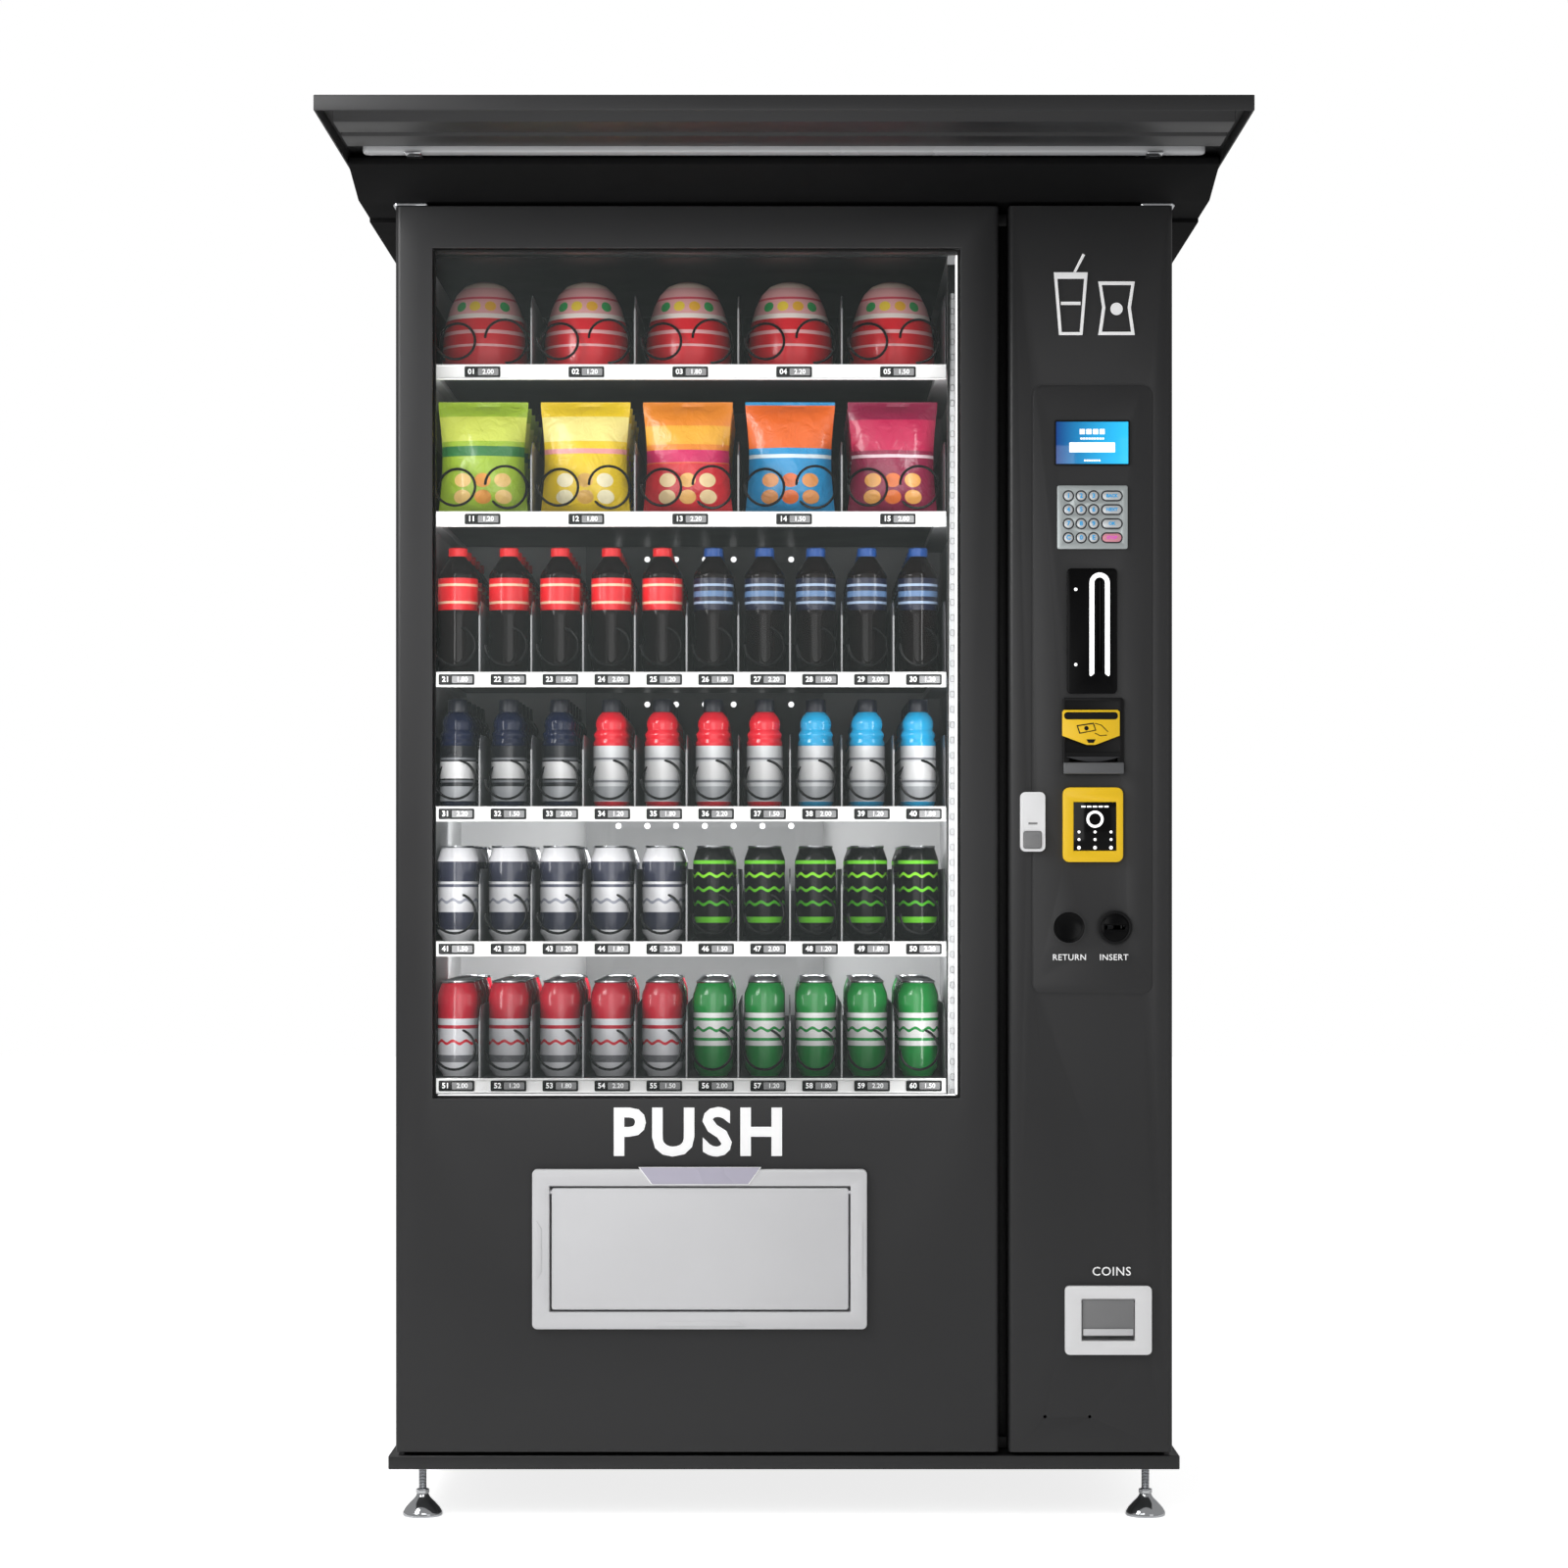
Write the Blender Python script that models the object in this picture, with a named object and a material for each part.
"""Snack vending machine: cabinet on levelling feet, two hinged doors, six coil trays and a roof canopy.

Metres, +Z up. The doors face -Y. The origin is the middle of the footprint, on the floor.
"""
import math

import bmesh
import bpy
from mathutils import Matrix, Vector

# ---- driving dimensions ----
GAP = 0.0003                      # between two pieces that touch
PAST = 0.01                       # how far a cutter reaches past what it cuts
LAP = 0.001                       # how far two welded shapes reach into each other
CAB_X = 0.600                     # half the cabinet's width
CAB_FRONT, CAB_REAR = -0.112, 0.680
CAB_BOTTOM, CAB_TOP = 0.0993, 2.0130
CAB_WALL = 0.020

DOOR_FRONT, DOOR_REAR = -0.180, -0.120
DOOR_BOTTOM, DOOR_TOP = 0.105, 2.0125
DOOR_EDGE_R = 0.008
WINDOW_DOOR_X = (-0.5948, 0.3285)
CONTROL_DOOR_X = (0.3440, 0.5948)
WINDOW_X, WINDOW_Z = (-0.538, 0.270), (0.646, 1.948)
GLASS_REBATE = 0.012              # how far the glass reaches behind the frame on each side
GLASS_FRONT, GLASS_BACK = -0.165, -0.141

HINGE_X, HINGE_Y = 0.586, -0.168  # pin axes, mirrored left and right
PIN_R, PIN_HOLE_R = 0.0050, 0.0058
PIN_DEPTH = 0.015

LINER_X, LINER_Y, LINER_Z = (-0.5795, 0.3250), (-0.110, 0.600), (0.130, 1.990)
CHILL_X, CHILL_REAR, CHILL_Z = (-0.563, 0.272), 0.588, (0.262, 1.975)

SEAL_X, SEAL_Z, SEAL_W, SEAL_R = (-0.5785, 0.3200), (0.1350, 1.9850), 0.014, 0.010

TRAY_X, TRAY_Y = (-0.5610, 0.2545), (-0.040, 0.530)
RAIL_TOPS = (1.790, 1.559, 1.307, 1.096, 0.884, 0.669)
TRAY_COLUMNS = (5, 5, 10, 10, 10, 10)
RAIL_HEIGHT, RAIL_DEPTH = 0.0235, 0.010
FLOOR_T, DIVIDER_T, DIVIDER_H = 0.003, 0.0018, 0.115
MOTOR_BAR_Y, MOTOR_BAR_H = 0.500, 0.080
COLUMN_PITCH = (TRAY_X[1] - TRAY_X[0]) / 10

COIL_R, COIL_WIRE_R = 0.0310, 0.0025
COIL_ABOVE_RAIL = 0.0435
COIL_Y = (-0.0300, 0.4900)
COIL_TURNS, COIL_STEPS = 6.5, 10
HUB_END = 0.4992

BEZEL_X, BEZEL_Z = (-0.3850, 0.1270), (0.2940, 0.5386)
BEZEL_FRONT, BEZEL_R = -0.192, 0.008
TUNNEL_X, TUNNEL_Z, TUNNEL_BACK = (-0.3717, 0.1137), (0.3073, 0.5253), -0.116
MOUTH_X, MOUTH_Z = (-0.3585, 0.1016), (0.3204, 0.5128)
FLAP_X, FLAP_Z, FLAP_Y = (-0.3555, 0.0986), (0.3234, 0.5098), (-0.188, -0.180)
FLAP_AXIS_Y, FLAP_AXIS_Z = -0.184, 0.503
FLAP_PIN_R, FLAP_PIN_REACH, FLAP_PIN_PLAY, FLAP_PIN_END = 0.0028, 0.009, 0.0008, 0.001

DUCT_X, DUCT_FRONT, DUCT_Z = (-0.340, 0.065), 0.565, (0.620, 1.960)
DUCT_SLOT_X, DUCT_SLOT_Y, DUCT_SLOT_DROP = (-0.310, 0.035), (0.560, 0.580), (0.060, 0.048)
DECK_X, DECK_Y, DECK_T = (-0.520, 0.230), (0.180, 0.570), 0.012
CONDENSER_X, CONDENSER_Y, CONDENSER_TOP = (-0.500, -0.060), (0.200, 0.550), 0.590
COMPRESSOR_XY, COMPRESSOR_SINK = (0.090, 0.370), 0.010
COMPRESSOR_FOOT, COMPRESSOR_WALL, COMPRESSOR_DOME = (0.085, 0.030), (0.105, 0.430), (0.060, 0.470)
COIN_SHELF_Y, COIN_SHELF_Z = (-0.080, 0.100), (0.690, 0.694)
COIN_BOX_X, COIN_BOX_Y, COIN_BOX_Z = (0.400, 0.545), (-0.085, 0.020), (0.6935, 1.060)
CONTROL_PLATE_Y, CONTROL_PLATE_Z = (0.140, 0.144), (1.100, 1.800)
CONTROL_BOX_X, CONTROL_BOX_Y, CONTROL_BOX_Z = (0.350, 0.555), (0.080, 0.1405), (1.180, 1.700)
CASH_X, CASH_Y, CASH_HEIGHT, CASH_WALL, CASH_FLOOR = (0.350, 0.560), (-0.090, 0.120), 0.115, 0.003, 0.004
BIN_X, BIN_Y, BIN_Z = (-0.500, 0.240), (-0.104, 0.160), (0.2623, 0.600)
BIN_FLOOR, BIN_WALL = 0.300, 0.004

SKIN = 0.008                      # front skin of the control door
DOOR_HOLLOW_X, DOOR_HOLLOW_Z = (0.354, 0.572), (0.125, 1.9925)
GROOVE_X, GROOVE_Z, GROOVE_R, GROOVE_W, GROOVE_DEPTH = (0.379, 0.566), (0.805, 1.740), 0.017, 0.003, 0.001
FIXING_X, FIXING_Z, FIXING_R = (0.3995, 0.4680), 0.159, 0.0025
CUP_X, CUP_Z, CUP_FRONT = (0.4295, 0.5620), (0.2550, 0.3600), -0.190
CUP_MOUTH_X, CUP_MOUTH_Z, CUP_BACK = (0.4545, 0.5365), (0.2760, 0.3405), -0.131
CUP_BODY_INSET, CUP_BODY_BACK = 0.0085, -0.126
CUP_FLAP_X, CUP_FLAP_Z = (0.4560, 0.5350), (0.2835, 0.3395)
CUP_R, CUP_FLAP_HALF_T = 0.007, 0.002
CUP_AXIS_Y, CUP_AXIS_Z, CUP_PIN_R = -0.185, 0.336, 0.0016
CUP_PIN_PLAY, CUP_PIN_REACH, CUP_PIN_HOLE = 0.0006, 0.005, 0.006

KEY_COLUMNS = (0.4350, 0.4545, 0.4735)
KEY_ROWS = (1.5680, 1.5470, 1.5255, 1.5040)
KEYPAD_X, KEYPAD_Z, KEYPAD_DEPTH = (0.418, 0.5256), (1.487, 1.584), 0.025
KEY_R, KEY_PLAY, WIDE_KEY_R = 0.0066, 0.0006, 0.0040
WIDE_KEY_X, WIDE_KEY_W, WIDE_KEY_H = 0.5015, 0.0290, 0.0124
KEYPAD_PROUD, KEY_PROUD, KEY_LENGTH, POCKET_DEPTH = 0.004, 0.0018, 0.0073, 0.008

LOCK_X, LOCK_Z, LOCK_FRONT = (0.361, 0.399), (1.024, 1.115), -0.194
LOCK_PIVOT, SPINDLE_R, SPINDLE_PLAY, SPINDLE_DEPTH = (0.380, 1.097), 0.0080, 0.0010, 0.030
LOCK_R, LOCK_POCKET = 0.008, 0.0055
LOCK_BUTTON_X, LOCK_BUTTON_Z, LOCK_BUTTON_R = (0.366, 0.393), (1.029, 1.055), 0.003
LOCK_BUTTON_PLAY, LOCK_BUTTON_PROUD, LOCK_BUTTON_STROKE = 0.0005, 0.0025, 0.0040

DISPLAY_X, DISPLAY_Z, DISPLAY_PROUD, DISPLAY_DEPTH = (0.414, 0.529), (1.615, 1.684), 0.0020, 0.030
READER_X, READER_Z = (0.433, 0.509), (1.266, 1.457)
READER_PROUD, READER_DEPTH, READER_R = 0.0060, 0.050, 0.006
CARD_X, CARD_Z, CARD_DEPTH = (0.4785, 0.4865), (1.300, 1.440), 0.012
NOTE_X, NOTE_Z, NOTE_PROUD, NOTE_DEPTH, NOTE_R = (0.4265, 0.5190), (1.142, 1.259), 0.0080, 0.055, 0.004
NOTE_RECESS_X, NOTE_RECESS_Z, NOTE_RECESS_Y = (0.4300, 0.5140), (1.1760, 1.2550), -0.1845
NOTE_SLOT_X, NOTE_SLOT_Z, NOTE_SLOT_DEPTH = (0.4360, 0.5100), (1.1610, 1.1685), 0.025
TOUCH_X, TOUCH_Z, TOUCH_PROUD, TOUCH_DEPTH, TOUCH_R = (0.426, 0.518), (1.008, 1.122), 0.0120, 0.030, 0.010
TOUCH_SCREEN_X, TOUCH_SCREEN_Z, TOUCH_SCREEN_Y = (0.442, 0.508), (1.025, 1.100), -0.1908
UNIT_FRONT = -0.200               # in front of every unit on the panel

KNOB_CENTRE, SLOT_CENTRE = (0.4360, 0.908), (0.5066, 0.908)
ROUND_R, ROUND_PLAY = 0.0255, 0.0005
KNOB_R, KNOB_HOLE_R, KNOB_RIM_R, KNOB_DISH_R = 0.0208, 0.0218, 0.0245, 0.0170
KNOB_PROUD, KNOB_RING_PROUD, KNOB_RIM_T, KNOB_DISH = 0.0050, 0.0045, 0.003, 0.0015
KNOB_BEHIND = 0.002               # how far the stem passes the skin
SLOT_BODY_R, SLOT_PROUD, SLOT_BODY_DEPTH = 0.0200, 0.005, 0.040
SLOT_HALF_W, SLOT_HALF_H = 0.016, 0.0032

CANOPY_X, CANOPY_Y, CANOPY_Z = 0.655, (-0.680, 0.680), (2.0520, 2.0740)
SHEET = 0.003
RIB_X, RIB_Y, RIB_BOTTOM = 0.640, (-0.5485, -0.4500), 2.056
RIB_HALF_TOP, RIB_HALF_BOTTOM = 0.047, 0.036
SOFFIT_X, SOFFIT_LIP, SOFFIT_STEP, SOFFIT_BACK = 0.651, (-0.313, -0.290), (-0.185, -0.036), 0.676
SOFFIT_LIP_Z, SOFFIT_Z = (2.050, 2.060), 2.0191
SOFFIT_HOLLOW = ((-0.635, 0.635), (-0.170, 0.660), (2.0225, 2.080))
LAMP_X, LAMP_Y, LAMP_Z, LAMP_R = 0.620, (-0.400, -0.372), 2.0505, 0.010

PLINTH_X, PLINTH_Y, PLINTH_Z = 0.606, (-0.178, 0.660), (0.078, 0.099)
FOOT_X, FOOT_Y = 0.558, (-0.130, 0.610)


# ---- shapes ----
def box(x_range, y_range, z_range):
    """Closed box between three pairs of limits."""
    bm = bmesh.new()
    add_box(bm, x_range, y_range, z_range)
    return bm


def add_box(bm, x_range, y_range, z_range):
    size = [high - low for low, high in (x_range, y_range, z_range)]
    middle = [(high + low) / 2 for low, high in (x_range, y_range, z_range)]
    matrix = Matrix.Translation(middle) @ Matrix.Diagonal((*size, 1))
    bmesh.ops.create_cube(bm, size=1, matrix=matrix)


def prism(outline, axis, start, end):
    """Extrude a flat outline along X, Y or Z. Its two coordinates are the other two axes, in order."""
    bm = bmesh.new()
    add_prism(bm, outline, axis, start, end)
    return bm


def add_prism(bm, outline, axis, start, end):
    spot = "XYZ".index(axis)

    def place(point, level):
        coordinates = list(point)
        coordinates.insert(spot, level)
        return bm.verts.new(coordinates)

    near = [place(point, start) for point in outline]
    far = [place(point, end) for point in outline]
    faces = [bm.faces.new(near), bm.faces.new(far)]
    count = len(outline)
    for i in range(count):
        j = (i + 1) % count
        faces.append(bm.faces.new((near[i], near[j], far[j], far[i])))
    bmesh.ops.recalc_face_normals(bm, faces=faces)


def rounded(x_range, z_range, radius, steps=4, corners=(0, 1, 2, 3)):
    """Rectangle outline with round corners, counted from the high corner of both, anticlockwise."""
    signs = ((1, 1), (-1, 1), (-1, -1), (1, -1))
    points = []
    for number, (sign_x, sign_z) in enumerate(signs):
        edge_x = x_range[1] if sign_x > 0 else x_range[0]
        edge_z = z_range[1] if sign_z > 0 else z_range[0]
        if number not in corners:
            points.append((edge_x, edge_z))
            continue
        centre_x, centre_z = edge_x - sign_x * radius, edge_z - sign_z * radius
        for step in range(steps + 1):
            angle = math.pi / 2 * (number + step / steps)
            points.append((centre_x + radius * math.cos(angle), centre_z + radius * math.sin(angle)))
    return points


def circle(centre, radius, sides=16):
    turn = 2 * math.pi / sides
    return [(centre[0] + radius * math.cos(i * turn), centre[1] + radius * math.sin(i * turn))
            for i in range(sides)]


def turned(profile, centre, sides=24):
    """Solid of revolution about a vertical axis from (radius, height) points, bottom to top."""
    bm = bmesh.new()
    rings = []
    for radius, height in profile:
        rings.append([bm.verts.new((x, y, height)) for x, y in circle(centre, radius, sides)])
    for lower, upper in zip(rings, rings[1:]):
        for i in range(sides):
            j = (i + 1) % sides
            bm.faces.new((lower[i], lower[j], upper[j], upper[i]))
    bm.faces.new(rings[0])
    bm.faces.new(rings[-1])
    return bm


def grown(limits, amount):
    return limits[0] - amount, limits[1] + amount


# ---- objects ----
def finish(name, colour, roughness, metallic=0.0):
    material = bpy.data.materials.new(name)
    material.use_nodes = True
    shader = material.node_tree.nodes["Principled BSDF"]
    shader.inputs["Base Color"].default_value = (*colour, 1)
    shader.inputs["Roughness"].default_value = roughness
    shader.inputs["Metallic"].default_value = metallic
    return material


def solid(name, bm, material, pivot=(0, 0, 0), parent=None):
    """Object from a mesh drawn in world coordinates, with its origin moved to the pivot."""
    bmesh.ops.recalc_face_normals(bm, faces=bm.faces)
    bmesh.ops.translate(bm, vec=-Vector(pivot), verts=bm.verts)
    mesh = bpy.data.meshes.new(name)
    bm.to_mesh(mesh)
    bm.free()
    mesh.shade_smooth()
    mesh.set_sharp_from_angle(angle=math.radians(35))
    mesh.materials.append(material)
    return add_object(name, mesh, pivot, parent)


def add_object(name, data, pivot=(0, 0, 0), parent=None):
    obj = bpy.data.objects.new(name, data)
    bpy.context.scene.collection.objects.link(obj)
    obj.location = pivot
    if parent:
        obj.parent = parent
        obj.matrix_parent_inverse = Matrix.Translation(-parent.location)
    return obj


def tool(target, bm, operation):
    """Boolean with a hidden helper solid."""
    number = len(target.modifiers) + 1
    helper = solid(f"{target.name}_tool_{number}", bm, target.data.materials[0])
    helper.hide_render = True
    helper.display_type = "WIRE"
    modifier = target.modifiers.new(f"{operation.lower()}_{number}", "BOOLEAN")
    modifier.operation = operation
    modifier.solver = "EXACT"
    modifier.object = helper


def cut(target, bm):
    tool(target, bm, "DIFFERENCE")


def weld(target, bm):
    tool(target, bm, "UNION")


# ---- cabinet ----
def cabinet(paint):
    shell = solid("cabinet_shell", box((-CAB_X, CAB_X), (CAB_FRONT, CAB_REAR), (CAB_BOTTOM, CAB_TOP)), paint)
    inside_x, inside_z = grown((-CAB_X, CAB_X), -CAB_WALL), grown((CAB_BOTTOM, CAB_TOP), -CAB_WALL)
    cut(shell, box(inside_x, (CAB_FRONT - PAST, CAB_REAR - CAB_WALL), inside_z))


def floor_top(rail_top):
    return rail_top - 0.001


def liner(white):
    """Insulated inner box with tray runners on both walls and the front post that hides their ends."""
    shell = solid("inner_liner", box(LINER_X, LINER_Y, LINER_Z), white)
    cut(shell, box(CHILL_X, (LINER_Y[0] - PAST, CHILL_REAR), CHILL_Z))
    weld(shell, box((0.2565, CHILL_X[1] + 0.001), (-0.045, -0.030), (0.600, 1.960)))
    runners = bmesh.new()
    for rail_top in RAIL_TOPS:
        top = floor_top(rail_top) - FLOOR_T - GAP
        add_box(runners, (CHILL_X[0] - 0.001, -0.548), (-0.020, 0.520), (top - 0.010, top))
        add_box(runners, (0.240, CHILL_X[1] + 0.001), (-0.020, 0.520), (top - 0.010, top))
    weld(shell, runners)


def plinth(paint):
    """Base frame under the cabinet, with the two upright pins that the doors turn on."""
    base = solid("base_plinth", box((-PLINTH_X, PLINTH_X), PLINTH_Y, PLINTH_Z), paint)
    cut(base, box((-0.520, 0.520), (-0.060, 0.600), (PLINTH_Z[0] - PAST, PLINTH_Z[1] + PAST)))
    pins = bmesh.new()
    for side in (-1, 1):
        outline = circle((side * HINGE_X, HINGE_Y), PIN_R)
        add_prism(pins, outline, "Z", PLINTH_Z[1] - 0.004, DOOR_BOTTOM + PIN_DEPTH - 0.002)
    weld(base, pins)


def feet(chrome):
    profile = ((0.0305, 0.0), (0.0305, 0.005), (0.0270, 0.012), (0.0105, 0.030),
               (0.0065, 0.035), (0.0065, PLINTH_Z[0] - GAP))
    for name, x, y in (("foot_front_left", -FOOT_X, FOOT_Y[0]), ("foot_front_right", FOOT_X, FOOT_Y[0]),
                       ("foot_rear_left", -FOOT_X, FOOT_Y[1]), ("foot_rear_right", FOOT_X, FOOT_Y[1])):
        solid(name, turned(profile, (x, y)), chrome)


def top_hinges(steel):
    """Bracket on the cabinet's top at each outer corner, with the pin that hangs into the door."""
    bottom, top = CAB_TOP + GAP, 2.0188
    for name, side in (("hinge_top_left", -1), ("hinge_top_right", 1)):
        x_range = sorted((side * 0.599, side * 0.545))
        bracket = solid(name, prism(rounded(x_range, (-0.178, -0.040), 0.006), "Z", bottom, top), steel)
        pin_foot = DOOR_TOP - PIN_DEPTH + 0.002
        pin = prism(circle((side * HINGE_X, HINGE_Y), PIN_R), "Z", pin_foot, bottom + LAP)
        weld(bracket, pin)


def canopy(paint, black, lamp):
    """Folded roof sheet with two stiffening ribs, the lamp under it and the soffit box that carries it."""
    plate_bottom = CANOPY_Z[1] - SHEET
    wide = (-CANOPY_X, CANOPY_X)
    roof = solid("canopy_roof", box(wide, CANOPY_Y, CANOPY_Z), paint)
    hollow_y = (CANOPY_Y[0] + SHEET, CANOPY_Y[1] + PAST)
    cut(roof, box(grown(wide, -SHEET), hollow_y, (CANOPY_Z[0] - PAST, plate_bottom)))
    ribs = bmesh.new()
    for middle in RIB_Y:
        top = plate_bottom + LAP
        outline = ((middle - RIB_HALF_TOP, top), (middle - RIB_HALF_BOTTOM, RIB_BOTTOM),
                   (middle + RIB_HALF_BOTTOM, RIB_BOTTOM), (middle + RIB_HALF_TOP, top))
        add_prism(ribs, outline, "X", -RIB_X, RIB_X)
    weld(roof, ribs)

    foot, top = CAB_TOP + GAP, plate_bottom - GAP
    profile = ((SOFFIT_LIP[0], SOFFIT_LIP_Z[0]), (SOFFIT_STEP[0], SOFFIT_Z), (SOFFIT_STEP[1], SOFFIT_Z),
               (SOFFIT_STEP[1], foot), (SOFFIT_BACK, foot), (SOFFIT_BACK, top), (SOFFIT_LIP[1], top),
               (SOFFIT_LIP[0], SOFFIT_LIP_Z[1]))
    soffit = solid("canopy_soffit", prism(profile, "X", -SOFFIT_X, SOFFIT_X), black)
    cut(soffit, box(*SOFFIT_HOLLOW))

    outline = rounded((-LAMP_X, LAMP_X), LAMP_Y, LAMP_R)
    solid("canopy_lamp", prism(outline, "Z", LAMP_Z, top), lamp)


# ---- inside the chilled space ----
def tray(name, rail_top, columns, steel):
    """Floor with upright dividers, a price rail along its front and the motor bar across its back."""
    low, high = floor_top(rail_top) - FLOOR_T, floor_top(rail_top)
    top = high + DIVIDER_H
    left, right = TRAY_X
    pitch = (right - left) / columns
    outline = [(left, low), (right, low), (right, top), (right - DIVIDER_T, top), (right - DIVIDER_T, high)]
    for number in range(columns - 1, 0, -1):
        near, far = left + number * pitch + DIVIDER_T / 2, left + number * pitch - DIVIDER_T / 2
        outline += [(near, high), (near, top), (far, top), (far, high)]
    outline += [(left + DIVIDER_T, high), (left + DIVIDER_T, top), (left, top)]
    body = solid(name, prism(outline, "Y", TRAY_Y[0] + RAIL_DEPTH - 0.001, MOTOR_BAR_Y + 0.001), steel)
    weld(body, box(TRAY_X, (TRAY_Y[0], TRAY_Y[0] + RAIL_DEPTH), (rail_top - RAIL_HEIGHT, rail_top)))
    weld(body, box(TRAY_X, (MOTOR_BAR_Y, TRAY_Y[1]), (low, high + MOTOR_BAR_H)))


def coil(name, x, rail_top, hand, wire, parent=None):
    """Product coil: a hub on the motor shaft, an arm out to the wire's radius, then turns to the front."""
    axis_z = rail_top + COIL_ABOVE_RAIL
    points = [(x, HUB_END, axis_z), (x, COIL_Y[1], axis_z)]
    steps = round(COIL_TURNS * COIL_STEPS)
    for step in range(steps + 1):
        angle = hand * 2 * math.pi * step / COIL_STEPS
        y = COIL_Y[1] + (COIL_Y[0] - COIL_Y[1]) * step / steps
        points.append((x + COIL_R * math.cos(angle), y, axis_z + COIL_R * math.sin(angle)))
    curve = bpy.data.curves.new(name, "CURVE")
    curve.dimensions = "3D"
    curve.bevel_depth = COIL_WIRE_R
    curve.bevel_resolution = 1
    curve.use_fill_caps = True
    spline = curve.splines.new("POLY")
    spline.points.add(len(points) - 1)
    for spot, point in zip(spline.points, points):
        spot.co = (point[0] - x, point[1] - HUB_END, point[2] - axis_z, 1)
    curve.materials.append(wire)
    return add_object(name, curve, (x, HUB_END, axis_z), parent)


def coils(wire):
    """One mirrored pair in the middle column of the top tray and one single coil in a narrow column."""
    middle = (TRAY_X[0] + TRAY_X[1]) / 2
    coil("coil_1_left", middle - COLUMN_PITCH / 2, RAIL_TOPS[0], 1, wire)
    coil("coil_1_right", middle + COLUMN_PITCH / 2, RAIL_TOPS[0], -1, wire)
    coil("coil_5", middle - COLUMN_PITCH / 2, RAIL_TOPS[4], 1, wire)


def air_duct(grey):
    panel = solid("air_duct_panel", box(DUCT_X, (DUCT_FRONT, CHILL_REAR - GAP), DUCT_Z), grey)
    slots = bmesh.new()
    for rail_top in RAIL_TOPS:
        low, high = (rail_top - drop for drop in DUCT_SLOT_DROP)
        add_box(slots, DUCT_SLOT_X, DUCT_SLOT_Y, (low, high))
    cut(panel, slots)


def cooling_unit(dark):
    """Deck with the condenser block and the compressor standing on it."""
    floor = CHILL_Z[0] + GAP
    unit = solid("refrigeration_unit", box(DECK_X, DECK_Y, (floor, floor + DECK_T)), dark)
    foot = floor + COMPRESSOR_SINK
    weld(unit, box(CONDENSER_X, CONDENSER_Y, (foot, CONDENSER_TOP)))
    low = (COMPRESSOR_WALL[0], floor + COMPRESSOR_FOOT[1])
    drum = turned(((COMPRESSOR_FOOT[0], foot), low, COMPRESSOR_WALL, COMPRESSOR_DOME), COMPRESSOR_XY)
    weld(unit, drum)


def delivery_bin(grey):
    catcher = solid("delivery_bin", box(BIN_X, BIN_Y, BIN_Z), grey)
    inside = (BIN_Y[0] - PAST, BIN_Y[1] - BIN_WALL)
    cut(catcher, box(grown(BIN_X, -BIN_WALL), inside, (BIN_FLOOR, BIN_Z[1] + PAST)))


def bay_units(steel, dark):
    """Coin mechanism on its shelf, control unit on its back plate and cash box on the cabinet floor."""
    across = (LINER_X[1] + GAP, CAB_X - CAB_WALL - GAP)
    coins = solid("coin_mechanism", box(across, COIN_SHELF_Y, COIN_SHELF_Z), steel)
    weld(coins, box(COIN_BOX_X, COIN_BOX_Y, COIN_BOX_Z))
    control = solid("control_unit", box(across, CONTROL_PLATE_Y, CONTROL_PLATE_Z), steel)
    weld(control, box(CONTROL_BOX_X, CONTROL_BOX_Y, CONTROL_BOX_Z))
    floor = CAB_BOTTOM + CAB_WALL + GAP
    cash = solid("cash_box", box(CASH_X, CASH_Y, (floor, floor + CASH_HEIGHT)), dark)
    inside = (floor + CASH_FLOOR, floor + CASH_HEIGHT + PAST)
    cut(cash, box(grown(CASH_X, -CASH_WALL), grown(CASH_Y, -CASH_WALL), inside))


# ---- window door ----
def door_outline(x_range):
    return rounded(x_range, (DOOR_FRONT, DOOR_REAR), DOOR_EDGE_R, corners=(2, 3))


def cut_pin_holes(door, x):
    holes = bmesh.new()
    outline = circle((x, HINGE_Y), PIN_HOLE_R)
    add_prism(holes, outline, "Z", DOOR_BOTTOM - PAST, DOOR_BOTTOM + PIN_DEPTH)
    add_prism(holes, outline, "Z", DOOR_TOP - PIN_DEPTH, DOOR_TOP + PAST)
    cut(door, holes)


def window_door(hinge, paint, glass, rubber):
    through = (DOOR_FRONT - PAST, DOOR_REAR + PAST)
    outline = door_outline(WINDOW_DOOR_X)
    slab = prism(outline, "Z", DOOR_BOTTOM, DOOR_TOP)
    frame = solid("window_door_frame", slab, paint, hinge.location, hinge)
    cut(frame, box(WINDOW_X, through, WINDOW_Z))
    rebate_x, rebate_z = grown(WINDOW_X, GLASS_REBATE), grown(WINDOW_Z, GLASS_REBATE)
    cut(frame, box(rebate_x, (GLASS_FRONT, DOOR_REAR + PAST), rebate_z))
    cut(frame, box(grown(TUNNEL_X, GAP), through, grown(TUNNEL_Z, GAP)))
    cut_pin_holes(frame, -HINGE_X)

    pane = box(grown(rebate_x, -GAP), (GLASS_FRONT + GAP, GLASS_BACK), grown(rebate_z, -GAP))
    solid("window_glass", pane, glass, hinge.location, hinge)

    seal_y = (DOOR_REAR + GAP, LINER_Y[0] - GAP)
    strip = prism(rounded(SEAL_X, SEAL_Z, SEAL_R), "Y", *seal_y)
    seal = solid("door_gasket", strip, rubber, hinge.location, hinge)
    cut(seal, box(grown(SEAL_X, -SEAL_W), grown(seal_y, PAST), grown(SEAL_Z, -SEAL_W)))


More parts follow.
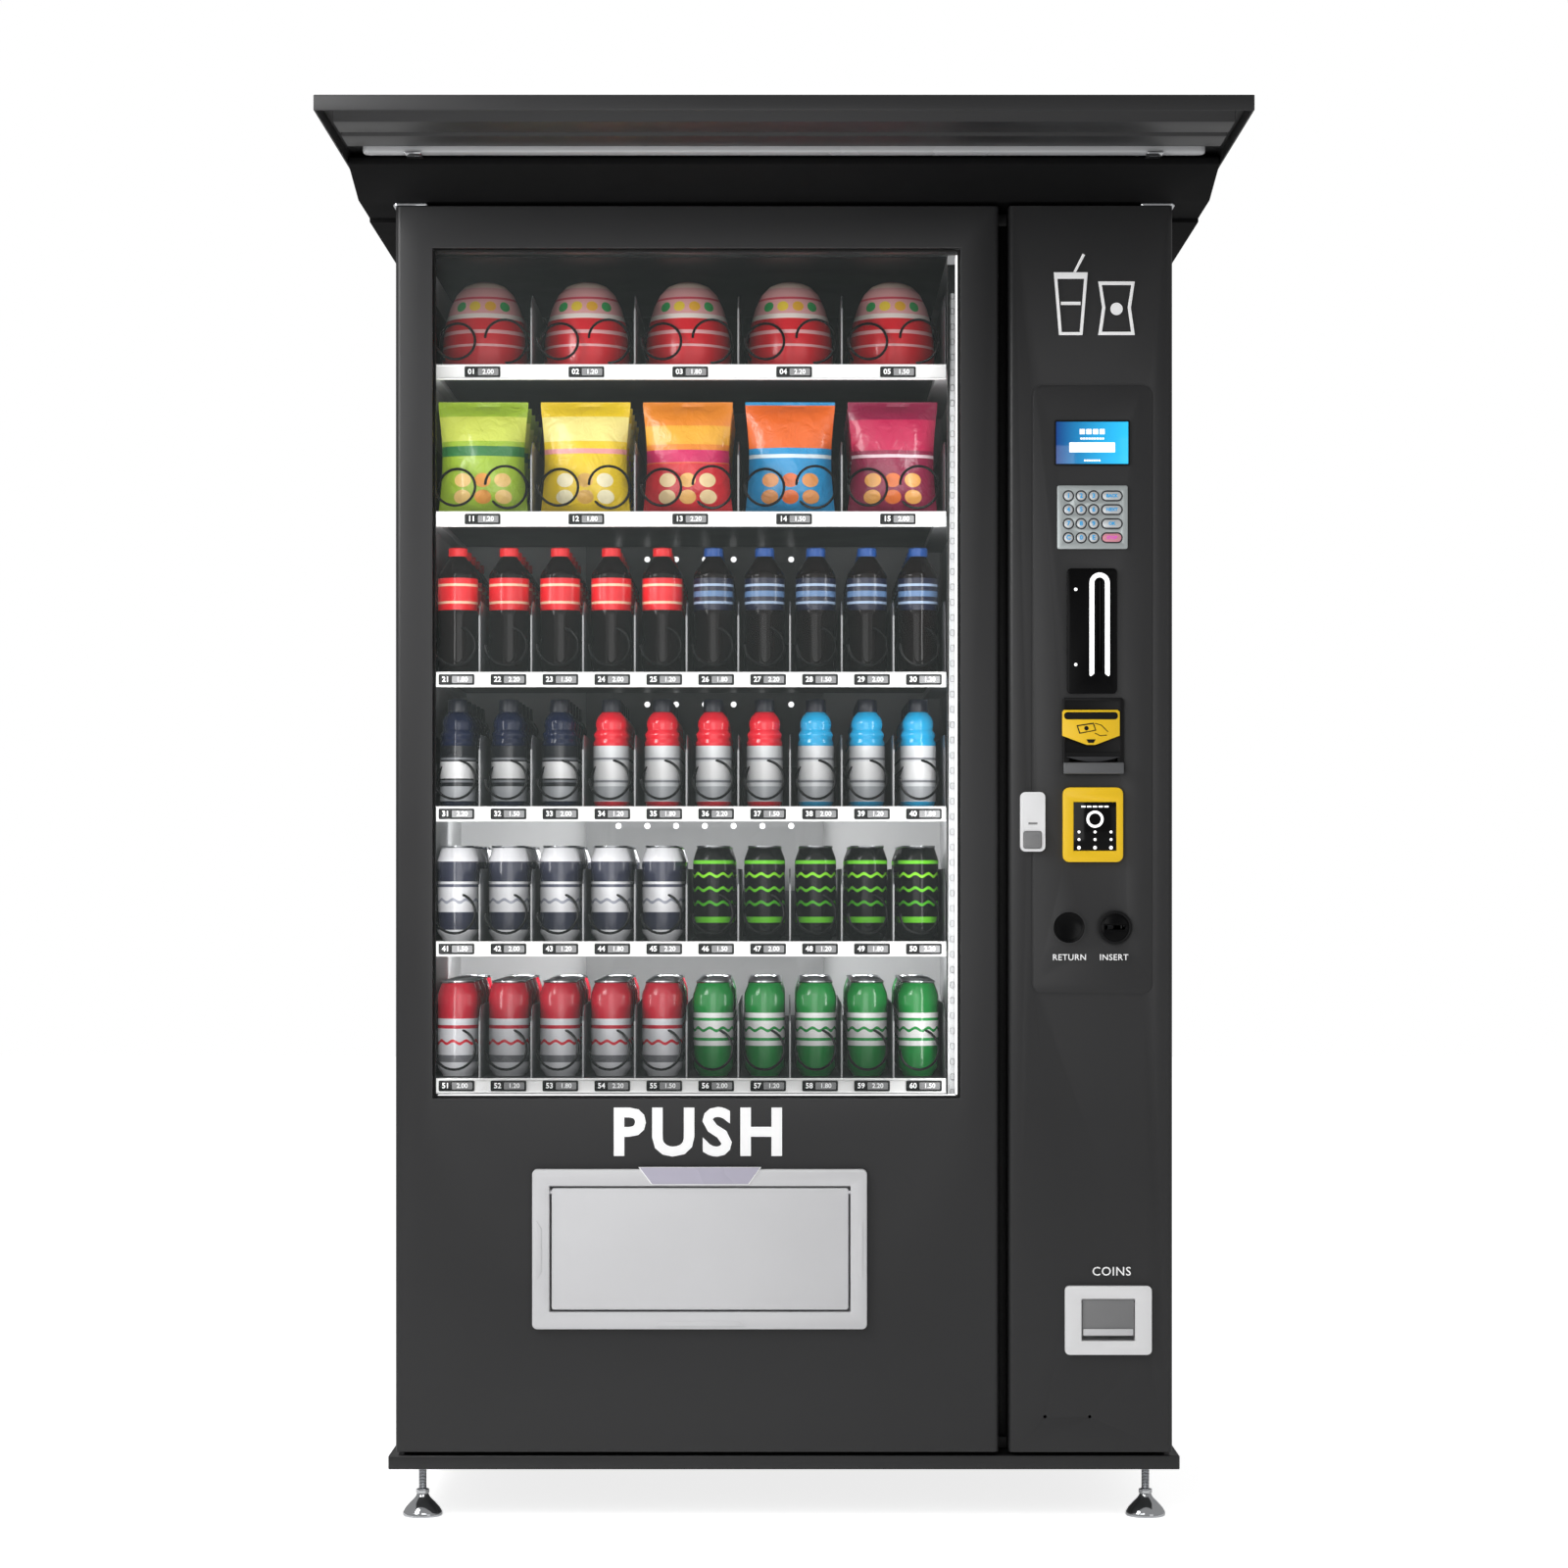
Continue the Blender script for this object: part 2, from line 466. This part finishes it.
def delivery(hinge, light):
    """Bezel and tunnel through the door, and the flap that hangs in its mouth on two end pins."""
    back_of_bezel = DOOR_FRONT - GAP
    plate = prism(rounded(BEZEL_X, BEZEL_Z, BEZEL_R), "Y", BEZEL_FRONT, back_of_bezel)
    frame = solid("delivery_frame", plate, light, hinge.location, hinge)
    weld(frame, box(TUNNEL_X, (back_of_bezel - LAP, TUNNEL_BACK), TUNNEL_Z))
    cut(frame, box(MOUTH_X, (BEZEL_FRONT - PAST, TUNNEL_BACK + PAST), MOUTH_Z))
    axis = (FLAP_AXIS_Y, FLAP_AXIS_Z)
    holes = grown(FLAP_X, FLAP_PIN_REACH + FLAP_PIN_END)
    cut(frame, prism(circle(axis, FLAP_PIN_R + FLAP_PIN_PLAY), "X", *holes))

    pivot = ((FLAP_X[0] + FLAP_X[1]) / 2, *axis)
    flap = solid("delivery_flap", box(FLAP_X, FLAP_Y, FLAP_Z), light, pivot, hinge)
    weld(flap, prism(circle(axis, FLAP_PIN_R), "X", *grown(FLAP_X, FLAP_PIN_REACH)))


# ---- control door ----
def control_door(hinge, paint):
    """Hollow pressed door, open at the back, with a raised ring round the return button's hole."""
    outline = door_outline(CONTROL_DOOR_X)
    slab = prism(outline, "Z", DOOR_BOTTOM, DOOR_TOP)
    panel = solid("control_door_panel", slab, paint, hinge.location, hinge)
    cut(panel, box(DOOR_HOLLOW_X, (DOOR_FRONT + SKIN, DOOR_REAR + PAST), DOOR_HOLLOW_Z))
    cut_pin_holes(panel, HINGE_X)
    cut(panel, solid_ring(GROOVE_X, GROOVE_Z, GROOVE_R, GROOVE_W))
    weld(panel, prism(circle(KNOB_CENTRE, ROUND_R, 32), "Y", DOOR_FRONT - KNOB_RING_PROUD, DOOR_FRONT + LAP))
    round_holes = bmesh.new()
    depth = (DOOR_FRONT - PAST, DOOR_FRONT + SKIN + PAST)
    add_prism(round_holes, circle(KNOB_CENTRE, KNOB_HOLE_R, 32), "Y", *depth)
    add_prism(round_holes, circle(SLOT_CENTRE, SLOT_BODY_R + ROUND_PLAY, 32), "Y", *depth)
    add_prism(round_holes, circle(LOCK_PIVOT, SPINDLE_R + SPINDLE_PLAY), "Y", *depth)
    for x in FIXING_X:
        add_prism(round_holes, circle((x, FIXING_Z), FIXING_R, 12), "Y", *depth)
    cut(panel, round_holes)
    return panel


def solid_ring(x_range, z_range, radius, width):
    """Closed frame-shaped cutter that presses a shallow line into the front skin."""
    outer = rounded(x_range, z_range, radius)
    inner = rounded(grown(x_range, -width), grown(z_range, -width), radius - width)
    bm = bmesh.new()
    levels = (DOOR_FRONT - PAST, DOOR_FRONT + GROOVE_DEPTH)
    rows = []
    for points in (outer, inner):
        rows.append([[bm.verts.new((x, y, z)) for x, z in points] for y in levels])
    count = len(outer)
    for i in range(count):
        j = (i + 1) % count
        (front_out, back_out), (front_in, back_in) = rows
        for a, b in ((front_out, back_out), (back_out, back_in), (back_in, front_in), (front_in, front_out)):
            bm.faces.new((a[i], a[j], b[j], b[i]))
    return bm


def panel_unit(name, x_range, z_range, material, panel, proud, depth, radius=0.003, inset=0.006):
    """Front plate on the control door with a body through the door's skin, and the opening for it."""
    back = DOOR_FRONT - GAP
    plate = prism(rounded(x_range, z_range, radius), "Y", back - proud, back)
    unit = solid(name, plate, material, panel.location, panel.parent)
    body_x, body_z = grown(x_range, -inset), grown(z_range, -inset)
    weld(unit, box(body_x, (back - LAP, DOOR_FRONT + depth), body_z))
    hole = (DOOR_FRONT - PAST, DOOR_FRONT + SKIN + PAST)
    cut(panel, box(grown(body_x, GAP), hole, grown(body_z, GAP)))
    return unit


def keypad(panel, silver, key_material):
    """Plate with a blind pocket for each key; every key slides into its pocket on its own."""
    front = DOOR_FRONT - GAP - KEYPAD_PROUD
    plate = panel_unit("keypad_base", KEYPAD_X, KEYPAD_Z, silver, panel, KEYPAD_PROUD, KEYPAD_DEPTH)
    pockets = bmesh.new()
    numbers = iter(("1", "2", "3", "4", "5", "6", "7", "8", "9", "clear", "0", "enter"))
    for row, z in enumerate(KEY_ROWS):
        keys = [(f"key_{next(numbers)}", circle((x, z), KEY_R), circle((x, z), KEY_R + KEY_PLAY), x)
                for x in KEY_COLUMNS]
        wide_x = (WIDE_KEY_X - WIDE_KEY_W / 2, WIDE_KEY_X + WIDE_KEY_W / 2)
        wide_z = (z - WIDE_KEY_H / 2, z + WIDE_KEY_H / 2)
        wide_hole = rounded(grown(wide_x, KEY_PLAY), grown(wide_z, KEY_PLAY), WIDE_KEY_R + KEY_PLAY)
        keys.append((f"key_wide_{row + 1}", rounded(wide_x, wide_z, WIDE_KEY_R), wide_hole, WIDE_KEY_X))
        for name, outline, hole, x in keys:
            add_prism(pockets, hole, "Y", front - PAST, front + POCKET_DEPTH)
            body = prism(outline, "Y", front - KEY_PROUD, front - KEY_PROUD + KEY_LENGTH)
            solid(name, body, key_material, (x, front, z), panel.parent)
    cut(plate, pockets)


def payment_units(panel, black, yellow, screen):
    panel_unit("display_screen", DISPLAY_X, DISPLAY_Z, screen, panel, DISPLAY_PROUD, DISPLAY_DEPTH)
    sizes = (READER_PROUD, READER_DEPTH, READER_R)
    reader = panel_unit("card_reader", READER_X, READER_Z, black, panel, *sizes)
    cut(reader, box(CARD_X, (UNIT_FRONT, DOOR_FRONT + CARD_DEPTH), CARD_Z))
    notes = panel_unit("note_validator", NOTE_X, NOTE_Z, black, panel, NOTE_PROUD, NOTE_DEPTH, NOTE_R)
    cut(notes, box(NOTE_RECESS_X, (UNIT_FRONT, NOTE_RECESS_Y), NOTE_RECESS_Z))
    cut(notes, box(NOTE_SLOT_X, (UNIT_FRONT, DOOR_FRONT + NOTE_SLOT_DEPTH), NOTE_SLOT_Z))
    sizes = (TOUCH_PROUD, TOUCH_DEPTH, TOUCH_R)
    touch = panel_unit("contactless_reader", TOUCH_X, TOUCH_Z, yellow, panel, *sizes)
    cut(touch, box(TOUCH_SCREEN_X, (UNIT_FRONT, TOUCH_SCREEN_Y), TOUCH_SCREEN_Z))

    back = DOOR_FRONT - GAP
    disc = prism(circle(SLOT_CENTRE, ROUND_R, 32), "Y", back - SLOT_PROUD, back)
    bezel = solid("coin_slot_bezel", disc, black, panel.location, panel.parent)
    weld(bezel, prism(circle(SLOT_CENTRE, SLOT_BODY_R, 32), "Y", back - LAP, DOOR_FRONT + SLOT_BODY_DEPTH))
    x, z = SLOT_CENTRE
    slot_x, slot_z = (x - SLOT_HALF_W, x + SLOT_HALF_W), (z - SLOT_HALF_H, z + SLOT_HALF_H)
    cut(bezel, box(slot_x, (UNIT_FRONT, DOOR_FRONT + SLOT_BODY_DEPTH + PAST), slot_z))


def coin_return(panel, black):
    """Button with a wider rim behind the skin, so that it can't fall out of its ring."""
    pivot = (KNOB_CENTRE[0], DOOR_FRONT, KNOB_CENTRE[1])
    length = (DOOR_FRONT - KNOB_PROUD, DOOR_FRONT + SKIN + KNOB_BEHIND)
    stem = prism(circle(KNOB_CENTRE, KNOB_R, 32), "Y", *length)
    button = solid("coin_return_button", stem, black, pivot, panel.parent)
    rim_front = DOOR_FRONT + SKIN + GAP
    weld(button, prism(circle(KNOB_CENTRE, KNOB_RIM_R, 32), "Y", rim_front, rim_front + KNOB_RIM_T))
    dish_floor = DOOR_FRONT - KNOB_PROUD + KNOB_DISH
    cut(button, prism(circle(KNOB_CENTRE, KNOB_DISH_R, 32), "Y", DOOR_FRONT - PAST, dish_floor))


def coin_cup(panel, light):
    """Cup set into the door, with a small flap that hangs behind its mouth."""
    back = DOOR_FRONT - GAP
    plate = prism(rounded(CUP_X, CUP_Z, CUP_R), "Y", CUP_FRONT, back)
    cup = solid("coin_cup", plate, light, panel.location, panel.parent)
    body_x, body_z = grown(CUP_X, -CUP_BODY_INSET), grown(CUP_Z, -CUP_BODY_INSET)
    weld(cup, box(body_x, (back - LAP, CUP_BODY_BACK), body_z))
    cut(cup, box(CUP_MOUTH_X, (CUP_FRONT - PAST, CUP_BACK), CUP_MOUTH_Z))
    hole = (DOOR_FRONT - PAST, DOOR_FRONT + SKIN + PAST)
    cut(panel, box(grown(body_x, GAP), hole, grown(body_z, GAP)))
    axis = (CUP_AXIS_Y, CUP_AXIS_Z)
    cut(cup, prism(circle(axis, CUP_PIN_R + CUP_PIN_PLAY, 12), "X", *grown(CUP_FLAP_X, CUP_PIN_HOLE)))

    pivot = ((CUP_FLAP_X[0] + CUP_FLAP_X[1]) / 2, *axis)
    plate = box(CUP_FLAP_X, (CUP_AXIS_Y - CUP_FLAP_HALF_T, CUP_AXIS_Y + CUP_FLAP_HALF_T), CUP_FLAP_Z)
    flap = solid("coin_cup_flap", plate, light, pivot, panel.parent)
    weld(flap, prism(circle(axis, CUP_PIN_R, 12), "X", *grown(CUP_FLAP_X, CUP_PIN_REACH)))


def lock(panel, white, grey):
    """Swing handle on a spindle through the skin, with a button in the handle's lower end."""
    pivot = (LOCK_PIVOT[0], DOOR_FRONT, LOCK_PIVOT[1])
    plate = prism(rounded(LOCK_X, LOCK_Z, LOCK_R), "Y", LOCK_FRONT, DOOR_FRONT - GAP)
    handle = solid("lock_handle", plate, white, pivot, panel.parent)
    weld(handle, prism(circle(LOCK_PIVOT, SPINDLE_R), "Y", DOOR_FRONT - LAP, DOOR_FRONT + SPINDLE_DEPTH))
    pocket_floor = DOOR_FRONT - LOCK_POCKET
    play = LOCK_BUTTON_PLAY
    hole = rounded(grown(LOCK_BUTTON_X, play), grown(LOCK_BUTTON_Z, play), LOCK_BUTTON_R + play)
    cut(handle, prism(hole, "Y", LOCK_FRONT - PAST, pocket_floor))
    button_pivot = (sum(LOCK_BUTTON_X) / 2, LOCK_FRONT, sum(LOCK_BUTTON_Z) / 2)
    outline = rounded(LOCK_BUTTON_X, LOCK_BUTTON_Z, LOCK_BUTTON_R)
    body = prism(outline, "Y", LOCK_FRONT - LOCK_BUTTON_PROUD, pocket_floor - LOCK_BUTTON_STROKE)
    solid("lock_button", body, grey, button_pivot, handle)


def main():
    for obj in list(bpy.data.objects):
        bpy.data.objects.remove(obj, do_unlink=True)

    charcoal = finish("charcoal_powder_coat", (0.045, 0.045, 0.048), 0.45)
    black = finish("black_plastic", (0.012, 0.012, 0.013), 0.4)
    chrome = finish("chromed_steel", (0.75, 0.75, 0.77), 0.12, 1.0)
    steel = finish("zinc_plated_steel", (0.60, 0.61, 0.63), 0.35, 1.0)
    white = finish("white_liner_plastic", (0.75, 0.76, 0.77), 0.4)
    tray_paint = finish("white_tray_enamel", (0.80, 0.80, 0.80), 0.35)
    light = finish("light_grey_plastic", (0.68, 0.68, 0.69), 0.4)
    grey = finish("mid_grey_plastic", (0.25, 0.25, 0.26), 0.45)
    silver = finish("satin_aluminium", (0.62, 0.63, 0.65), 0.3, 1.0)
    yellow = finish("yellow_plastic", (0.95, 0.66, 0.02), 0.35)
    glass = finish("window_glass", (0.85, 0.90, 0.90), 0.05)
    rubber = finish("black_rubber", (0.02, 0.02, 0.02), 0.7)
    screen = finish("screen_glass", (0.02, 0.10, 0.30), 0.1)
    lamp = finish("lamp_diffuser", (0.90, 0.92, 0.95), 0.3)

    cabinet(charcoal)
    liner(white)
    plinth(charcoal)
    feet(chrome)
    top_hinges(chrome)
    canopy(charcoal, black, lamp)
    for number, (rail_top, columns) in enumerate(zip(RAIL_TOPS, TRAY_COLUMNS), start=1):
        tray(f"tray_{number}", rail_top, columns, tray_paint)
    coils(black)
    air_duct(grey)
    cooling_unit(grey)
    delivery_bin(grey)
    bay_units(steel, grey)

    left_hinge = add_object("window_door_hinge", None, (-HINGE_X, HINGE_Y, DOOR_BOTTOM))
    window_door(left_hinge, charcoal, glass, rubber)
    delivery(left_hinge, light)

    right_hinge = add_object("control_door_hinge", None, (HINGE_X, HINGE_Y, DOOR_BOTTOM))
    panel = control_door(right_hinge, charcoal)
    keypad(panel, silver, black)
    payment_units(panel, black, yellow, screen)
    coin_return(panel, black)
    coin_cup(panel, light)
    lock(panel, white, grey)


main()
